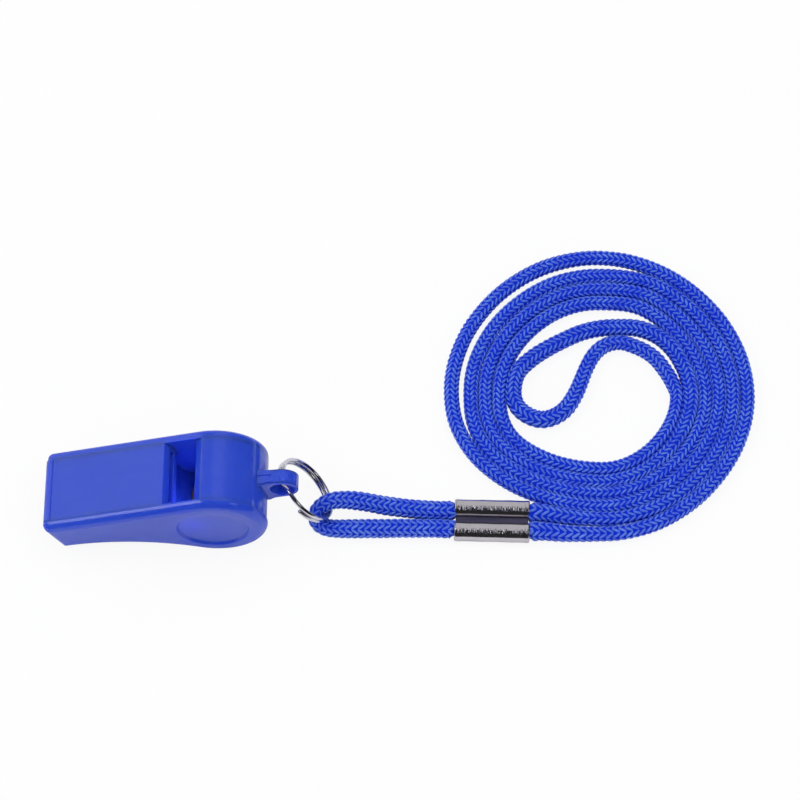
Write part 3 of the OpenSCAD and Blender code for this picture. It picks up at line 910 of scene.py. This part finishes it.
FOLD_POINTS = [
    [19.3, 5.6], [17.1, 10.2], [13.6, 13.9], [9, 16], [4.1, 16.2], [-0.2, 15.8], [-4.1, 14.7],
    [-7.7, 12.9], [-11.2, 10.9], [-14.8, 8.3], [-18.1, 4.6], [-19.1, -0.3], [-18.1, -3.9],
    [-15.7, -6.1], [-12.7, -7], [-9.7, -6.1], [-7.3, -4.1], [-5.4, -0.9], [-4.1, 2.4],
    [-2.8, 6], [-1.1, 9.3], [1.4, 11.7], [4.8, 12.6], [8.3, 11.5], [11, 10], [13.2, 7.9],
    [15.5, 4.4]
]
LOOSE_COURSE = 1.5
NECK_COURSE = 1.3
COURSE_EASE_AT = 6
COURSE_EASE = 40
EYE_COURSE = 1.42
BIGHT_COURSE = 1.2
CORE_SHARE = 0.88
LEG_L = 1.45
LEG_W = 0.225
LEG_H = 0.27
LEG_D = 0.25
LEG_DIVE = 0.18
LEG_OVERLAP = 0.03
LEG_UNEVEN = 0.07


def barrel_run(end, side):
    """Cord inside one barrel, from its inner end out past the barrel's mouth, where it leans in
    towards the other cord."""
    return by_crimp([[end * x, side * (BARREL_GAP / 2 - share * MOUTH_LEAN),
                      BARREL_D / 2 + share * MOUTH_RISE]
                     for x, share in ((CRIMP_L / 2 - SEAT_L, 0), (CRIMP_L / 2, HALF),
                                      (CRIMP_L / 2 + NECK_L, 1))])


def coil_strand(strand):
    """A strand of the coil: its distance from the middle is an oval that steps in past the other
    strand once a turn, with a gap that opens on the far side and closes again."""
    angle = np.arange(-90, 720.1, 3)
    a = np.radians(angle)
    steps = sum(smooth((angle - 360 * k - LAP_STEP_AT) / LAP_STEP_OVER) for k in range(3))
    rank = strand + 2 * steps
    lap = angle % 360
    opened = (smooth((lap - GAP_OPEN_AT) / GAP_OPEN_OVER)
              * (1 - smooth((lap - GAP_CLOSE_AT) / GAP_CLOSE_OVER)))
    swing = LEAD_SWING * (1 - smooth((angle + 90) / LEAD_SWING_OVER)) if strand == 0 else 0
    far = np.maximum(0, np.sin(a))
    near = np.maximum(0, -np.sin(a))
    reach = (COIL_R - COIL_OVAL * np.cos(2 * a) + COIL_SQUARE * np.cos(4 * a) + swing
             - rank * (STRAND_PITCH + FAR_SPREAD * far - NEAR_DRAW * near)
             - np.minimum(1, rank) * FAR_GAP * opened)
    return by_coil(reach[:, None] * np.stack([np.cos(a), np.sin(a)], -1))


def by_coil(points):
    """Places given from the middle of the coil, at the height of the cord that lies there."""
    points = np.asarray(points, dtype=float)
    return np.concatenate([points + COIL_C, np.full((len(points), 1), CORD_D / 2)], -1)


def lead(points):
    """A lead sinks from the crimp's mouth to the coil."""
    placed = by_coil(points)
    share = np.arange(1, len(points) + 1) / (len(points) + 1)
    placed[:, 2] = mix(BARREL_D / 2, CORD_D / 2, share)
    return placed


def neck_route():
    """Out of the crimp, round the coil, through the fold in its middle, and back beside itself."""
    outer = curve(np.concatenate([barrel_run(1, -1), lead(OUTER_LEAD), coil_strand(0)[:1]]), 8)
    inner = curve(np.concatenate([barrel_run(1, 1), lead(INNER_LEAD), coil_strand(1)[:1]]), 8)
    fold = curve(by_coil(FOLD_POINTS), 8)
    join_in = curve(np.concatenate([coil_strand(0)[-2:], fold[:1], fold[8:9]]), 8)[8:-9]
    join_out = curve(np.concatenate([fold[-9:-8], fold[-1:], coil_strand(1)[-1:],
                                     coil_strand(1)[-2:-1]]), 8)[9:-8]
    route = np.concatenate([outer[:-1], coil_strand(0)[:-1], join_in, fold, join_out,
                            coil_strand(1)[::-1][1:], inner[::-1][1:]])
    return eased(even(route, ROUTE_STEP), 9)


def eye_route():
    """Out of one barrel, round the ring's wire, and back into the other barrel."""
    points = np.concatenate([barrel_run(-1, 1), by_crimp(EYE_POINTS), barrel_run(-1, -1)[::-1]])
    return eased(even(curve(points, 12), EYE_STEP), 7)


def girth_along(path, settle_l, wide, slim):
    """Radius along a cord: slim in the barrels, swelling at their mouths, then settling."""
    far = np.concatenate([[0], np.cumsum(np.linalg.norm(np.diff(path, axis=0), axis=1))])
    near_end = np.minimum(far, far[-1] - far)
    swell = smooth((near_end - SEAT_L + SWELL_EARLY) / SWELL_L)
    settle = smooth((near_end - SEAT_L - SETTLE_AT) / settle_l)
    crowded = (MOUTH_D - wide) * (1 - smooth((near_end - SEAT_L - CROWD_AT) / CROWD_L))
    return mix(SEAT_D, mix(wide, slim, settle) + crowded, swell) / 2, far, near_end


class Cord:
    """A knitted cord: a round core, and stitches laid on it in columns and courses."""

    def __init__(self, path, radii, far, up, courses, twist):
        self.path = path
        self.radii = radii
        self.far = far
        self.up = up
        self.side, self.rise = frames(path, up)[1:]
        self.courses = courses
        self.twist = twist

    def at(self, s, turn, depth):
        """A place by its way along the cord, its bearing round it, and its depth under the surface."""
        def along(values):
            return np.interp(s, self.far, values)
        centre = np.stack([along(self.path[:, k]) for k in range(3)], -1)
        side = np.stack([along(self.side[:, k]) for k in range(3)], -1)
        rise = np.stack([along(self.rise[:, k]) for k in range(3)], -1)
        out = along(self.radii) - depth
        return centre + out[..., None] * (np.cos(turn)[..., None] * side
                                          + np.sin(turn)[..., None] * rise)

    def core(self, name, finish):
        """The core follows the cord a stitch's depth below its surface."""
        keep = slice(0, None, 4)
        core = tube(self.path[keep], self.radii[keep] * CORE_SHARE, 14, self.up)
        return piece(name, [core], finish, crease=60)

    def stitches(self, name, finish, courses, wales=4, sides=6, rings=5):
        """Each stitch is a pair of legs that spread from one point like a V. A leg is a blunt sausage of
        elliptic rings, half sunk in the core, whose two ends dive under its neighbours."""
        s0 = self.courses[courses]
        gap = np.interp(s0, self.courses, np.gradient(self.courses))
        wale = np.arange(wales)
        hand = np.array([-1, 1])
        t = np.linspace(0, 1, rings + 2)
        a = -RIGHT_ANGLE + TURN * np.arange(sides) / sides
        s0, gap, wale, hand = (v.reshape(s) for v, s in (
            (s0, (-1, 1, 1, 1, 1)), (gap, (-1, 1, 1, 1, 1)),
            (wale, (1, -1, 1, 1, 1)), (hand, (1, 1, -1, 1, 1))))
        t = t.reshape(1, 1, 1, -1, 1)
        a = a.reshape(1, 1, 1, 1, -1)
        radius = np.interp(s0, self.far, self.radii)
        spread = np.pi / wales
        base = np.interp(s0, self.far, self.twist) + TURN * wale / wales
        bearing = base + hand * spread * ((1 + 2 * LEG_OVERLAP) * t - LEG_OVERLAP)
        leg_run = LEG_L * gap
        run = s0 + leg_run * (t - 0.5)
        uneven = 1 + LEG_UNEVEN * np.sin(5.3 * s0 + 2.1 * wale + 1.3 * hand)
        plump = np.sqrt(1 - np.abs(2 * t - 1) ** 3)
        width = LEG_W * gap * plump * uneven
        height = LEG_H * plump * uneven
        depth = LEG_D + LEG_DIVE * (2 * t - 1) ** 2
        lean = np.arctan2(leg_run, spread * radius)
        across = width * np.cos(a)
        s = run - across * np.cos(lean)
        turn = bearing + hand * across * np.sin(lean) / radius
        deep = depth - height * np.sin(a)
        s, turn, deep = np.broadcast_arrays(s, turn, deep)
        grid = self.at(s, turn, deep)
        shape = grid.shape
        legs = shape[0] * shape[1] * shape[2]
        grid = grid.reshape(legs, rings + 2, sides, 3)
        poles = grid[:, [0, -1]].mean(axis=2)
        body = grid[:, 1:-1].reshape(legs, rings * sides, 3)
        points = np.concatenate([body, poles], axis=1)
        size = rings * sides + 2
        k = np.arange(sides)
        near = np.stack([np.full(sides, size - 2), (k + 1) % sides, k], -1)
        far_end = np.stack([np.full(sides, size - 1), (rings - 1) * sides + k,
                            (rings - 1) * sides + (k + 1) % sides], -1)
        walls = quads(rings, sides)
        flip = (np.arange(legs) % 2 == 0)
        groups = []
        for mesh_faces in (walls, near, far_end):
            faces = mesh_faces[None] + (np.arange(legs) * size)[:, None, None]
            faces[flip] = faces[flip][..., ::-1]
            groups.append(faces.reshape(-1, mesh_faces.shape[1]))
        uv = np.zeros((legs, size, 2))
        uv[:, :rings * sides, 0] = np.repeat(np.linspace(0.1, 0.9, rings), sides)
        uv[:, :rings * sides, 1] = np.tile(np.arange(sides) / sides, rings)
        uv[:, -2] = [0, HALF]
        uv[:, -1] = [1, HALF]
        uv[..., 0] += np.arange(legs)[:, None] * 1.37
        return piece(name, [(points, groups)], finish, None, uv.reshape(-1, 2))


def course_places(far, gap_at):
    """Places of the courses along a cord, each a stitch's gap past the one before."""
    count = np.concatenate([[0], np.cumsum(np.diff(far) / gap_at[1:])])
    return np.interp(np.arange(0.5, count[-1] - 0.3), count, far)


def neck_cord():
    """The neck cord, a little slacker and thicker over its fold, turning slowly about its own line."""
    path = neck_route()
    radii, far, near_end = girth_along(path, NECK_SETTLE_L, LEAD_D, CORD_D)
    slack = (FOLD_D - CORD_D) / 2 * smooth((near_end - far[-1] / 2 + FOLD_HALF) / FOLD_EASE)
    radii = radii + slack
    path[:, 2] += slack
    gap_at = mix(LOOSE_COURSE, NECK_COURSE, smooth((near_end - COURSE_EASE_AT) / COURSE_EASE))
    twist = (0.35 * np.sin(far / 61 + 0.4) + 0.30 * np.sin(far / 23 + 2.0) + RIGHT_ANGLE
             + 0.15 * np.sin(far / 9.7))
    return Cord(path, radii, far, np.array([0, 0, 1.0]), course_places(far, gap_at), twist)


def eye_cord():
    """The eye's cord, pinched where it goes round the ring's wire."""
    path = eye_route()
    radii, far = girth_along(path, EYE_SETTLE_L, LEAD_D, EYE_D)[:2]
    angle = np.radians(CRIMP_TURN)
    along = (path[:, 0] - CRIMP_C[0]) * np.cos(angle) + (path[:, 1] - CRIMP_C[1]) * np.sin(angle)
    pinch = smooth((-along - BIGHT_AT) / BIGHT_EASE)
    radii = np.minimum(radii, mix(EYE_D, BIGHT_D, pinch) / 2)
    gap_at = mix(EYE_COURSE, BIGHT_COURSE, pinch)
    twist = RIGHT_ANGLE + 0.4 * np.sin(far / 17 + 1) + 0.2
    return Cord(path, radii, far, EYE_UP, course_places(far, gap_at), twist)


def cord_length(path):
    return float(np.linalg.norm(np.diff(path, axis=0), axis=1).sum()) * MM


# Light and floor

FLOOR_REACH = 900
FLOOR_C = [45, 28, 0]
GLOW_C = np.array([AXIS_X - 5, -4.5, CHAMBER_R + 1])


def add_floor():
    """A pale table top. The camera sees it as nearly white, with the object's soft shadow on it."""
    f = Finish("table_white")
    f.set(Base_Color=colour(244, 244, 245), Roughness=0.9, Specular_IOR_Level=0.0)
    path = f.node("ShaderNodeLightPath", out="Is Camera Ray")
    glow = f.node("ShaderNodeEmission", {}, {"Color": (1, 1, 1, 1), "Strength": 1.0})
    out = f.tree.nodes["Material Output"]
    mixed = f.node("ShaderNodeMixShader", {}, {
        "Fac": path * 0.9, 1: Wire(f, f.shader.outputs[0]), 2: glow})
    f.tree.links.new(mixed.socket, out.inputs["Surface"])
    corners = FLOOR_REACH * np.array([[-1, -1, 0], [1, -1, 0], [1, 1, 0], [-1, 1, 0]])
    made = piece("floor", [(corners + FLOOR_C, [np.arange(4)[None]])], f.material, crease=None)


def add_softbox(name, place, aim, size, power, gloss=True):
    """A rectangular lamp, in metres, that faces a place."""
    data = bpy.data.lights.new(name, "AREA")
    data.shape = "RECTANGLE"
    data.size, data.size_y = size
    data.energy = power
    made = bpy.data.objects.new(name, data)
    made.visible_glossy = gloss
    bpy.context.collection.objects.link(made)
    back = unit(np.array(place) - np.array(aim))
    side = unit(np.cross([0, 1, 0.001], back))
    rise = np.cross(back, side)
    stand_at = np.eye(4)
    stand_at[:3, 0] = side
    stand_at[:3, 1] = rise
    stand_at[:3, 2] = back
    stand_at[:3, 3] = place
    made.matrix_world = stand_at.T.tolist()


def add_glow(name, place, power):
    """A weak bluish lamp in the whistle's chamber, for the light that comes in through its walls."""
    data = bpy.data.lights.new(name, "POINT")
    data.shadow_soft_size = MM
    data.color = (0.5, 0.56, 1.0)
    data.energy = power
    made = bpy.data.objects.new(name, data)
    made.location = place
    made.visible_camera = False
    made.visible_glossy = False
    bpy.context.collection.objects.link(made)


def light_room():
    """White all round for the camera; for gloss, a dim room with a bright back, and an even level
    of light."""
    world = bpy.data.worlds.new("studio")
    bpy.context.scene.world = world
    world.use_nodes = True
    f = Finish("studio", world.node_tree)
    background = f.tree.nodes["Background"]
    camera = f.node("ShaderNodeLightPath", out="Is Camera Ray")
    glossy = f.also(camera, "Is Glossy Ray")
    clear = f.also(camera, "Is Transmission Ray")
    way = f.node("ShaderNodeTexCoord", out="Generated")
    x = f.node("ShaderNodeSeparateXYZ", {}, {"Vector": way}, out="X")
    y = f.also(x, "Y")
    z = f.also(x, "Z")
    back = f.ramp(y * 0.5 + z * 0.18 + 0.5, (0.64, 0.04), (0.70, 1.0))
    left = f.ramp(x * 0.5 + 0.5, (0.22, 1.0), (0.29, 0.44), (0.40, 0.30), (0.48, 0.72),
                  (0.60, 0.66), (0.72, 0.22), (0.86, 0.06))
    seen = f.node("ShaderNodeMath", {"operation": "MAXIMUM"}, {0: camera, 1: clear})
    level = (1 - glossy) * 0.64 + glossy * back * left
    final = seen * 1.0 + (1 - seen) * level
    f.fill(background.inputs["Color"], (1, 1, 1, 1))
    f.fill(background.inputs["Strength"], final)
    add_glow("inner_glow", place=GLOW_C * MM, power=0.0019)
    add_softbox("over_light", place=(0.02, 0.16, 0.75), aim=(0.03, 0.03, 0), size=(0.9, 0.42),
                power=1.5, gloss=False)
    add_softbox("left_light", place=(-0.43, -0.07, 0.55), aim=(0, 0, 0), size=(0.26, 0.36),
                power=0.97)
    add_softbox("right_light", place=(0.42, -0.16, 0.50), aim=(0.02, 0, 0), size=(0.16, 0.16),
                power=0.20)
    bpy.context.scene.view_settings.view_transform = "Standard"


# Putting it together

aim_camera()

stitch_yarn = yarn()
# The core's finish is painted shade for the crevices between the stitches.
shaded_core_yarn = yarn_painted_shade()
neck = neck_cord()
neck_core = neck.core("neck_core", shaded_core_yarn)
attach(neck_core, "lanyard")
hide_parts("neck_cord")
total = len(neck.courses)
for part in range(3):
    chosen = np.arange(part * total // 3, (part + 1) * total // 3)
    made = neck.stitches(f"neck_stitches_{part + 1}", stitch_yarn, chosen)
    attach(made, "lanyard")

eye = eye_cord()
eye_core = eye.core("eye_core", shaded_core_yarn)
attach(eye_core, "lanyard")
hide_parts("cord_eye")
eye_stitches = eye.stitches("eye_stitches", stitch_yarn, np.arange(len(eye.courses)), 5)
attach(eye_stitches, "lanyard")

(neck.path[0] * MM).tolist()
cord_length(neck.path)
(neck.path[::4] * MM).tolist()
(eye.path[0] * MM).tolist()
cord_length(eye.path)
(eye.path[::4] * MM).tolist()

plastic = moulded_plastic()
for name, node, side in (("near_plate_shell", "near_side_plate", -1),
                         ("far_plate_shell", "far_side_plate", 1)):
    made = side_plate(name, side, plastic)
    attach(made, "whistle")
    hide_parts(node)
for made in (body_shell(plastic), lug_shell(plastic)):
    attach(made, "whistle")
    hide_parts("whistle_body")

made = cork_pea(cork())
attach(made, "pea")
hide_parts("pea")

made = split_ring(nickel())
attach(made, "ring")
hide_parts("split_ring")

for made in (crimp_barrels(gunmetal()), crimp_web(shaded_web_plating())):
    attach(made, "lanyard")
    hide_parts("crimp")

add_floor()
light_room()
